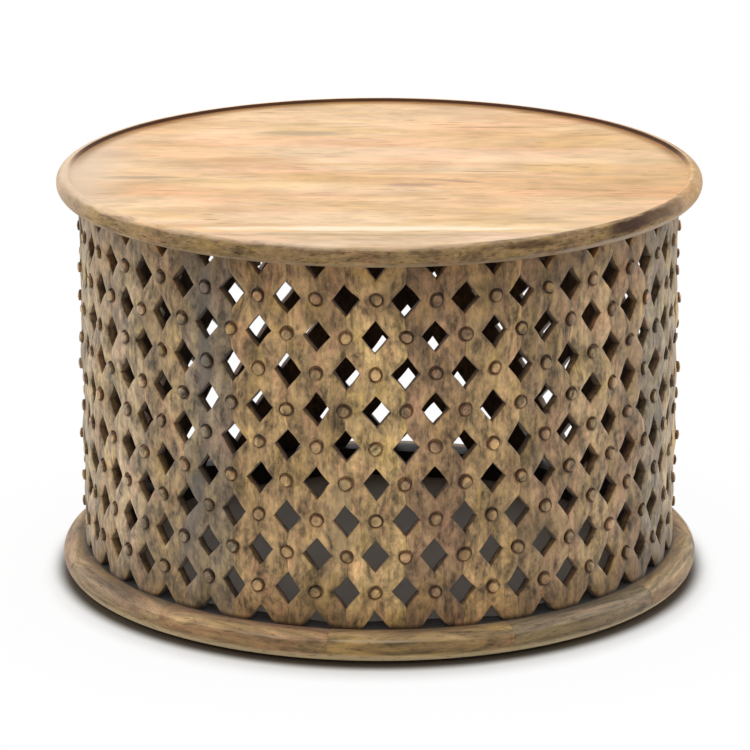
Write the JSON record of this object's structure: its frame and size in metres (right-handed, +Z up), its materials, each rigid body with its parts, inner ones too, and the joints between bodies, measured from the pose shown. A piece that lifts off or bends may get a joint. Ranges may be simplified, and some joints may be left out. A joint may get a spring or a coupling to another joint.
{
  "type": "african drum table",
  "caption": "Round wooden drum table: a plank top with a raised lip on a carved drum wall pierced with diamond holes and dotted with studs, on a rounded base ring.",
  "frame": {"origin": "on the floor, at the centre of the table", "axes": "+Z up along the axis of the drum, -Y towards the front, +X to the right along the planks of the top"},
  "size_m": [0.7, 0.7, 0.4475],
  "materials": {
    "top_wood": "light oiled mango wood, satin",
    "drum_wood": "aged brown mango wood, hand carved, satin",
    "stud_wood": "aged brown mango wood, satin",
    "ring_wood": "aged brown mango wood, satin",
    "block_wood": "plain sawn wood",
    "felt": "dense felt"
  },
  "bodies": {
    "root": {"top_plank_1": "top_wood", "top_plank_2": "top_wood", "top_plank_3": "top_wood", "top_plank_4": "top_wood", "top_plank_5": "top_wood", "top_plank_6": "top_wood", "stave_01": "drum_wood", "stave_02": "drum_wood", "stave_03": "drum_wood", "stave_04": "drum_wood", "stave_05": "drum_wood", "stave_06": "drum_wood", "stave_07": "drum_wood", "stave_08": "drum_wood", "stave_09": "drum_wood", "stave_10": "drum_wood", "stave_11": "drum_wood", "stave_12": "drum_wood", "stave_13": "drum_wood", "stave_14": "drum_wood", "stave_15": "drum_wood", "stave_16": "drum_wood", "stave_17": "drum_wood", "stave_18": "drum_wood", "stave_19": "drum_wood", "stave_20": "drum_wood", "stave_21": "drum_wood", "stave_22": "drum_wood", "stave_23": "drum_wood", "stave_24": "drum_wood", "stave_25": "drum_wood", "stave_26": "drum_wood", "stave_27": "drum_wood", "stave_28": "drum_wood", "stave_29": "drum_wood", "stave_30": "drum_wood", "stave_31": "drum_wood", "stave_32": "drum_wood", "stave_33": "drum_wood", "studs_row_1": "stud_wood", "studs_row_2": "stud_wood", "studs_row_3": "stud_wood", "studs_row_4": "stud_wood", "studs_row_5": "stud_wood", "studs_row_6": "stud_wood", "studs_row_7": "stud_wood", "studs_row_8": "stud_wood", "studs_row_9": "stud_wood", "base_ring": "ring_wood", "glue_blocks": "block_wood", "felt_pads": "felt"}
  },
  "joints": []
}
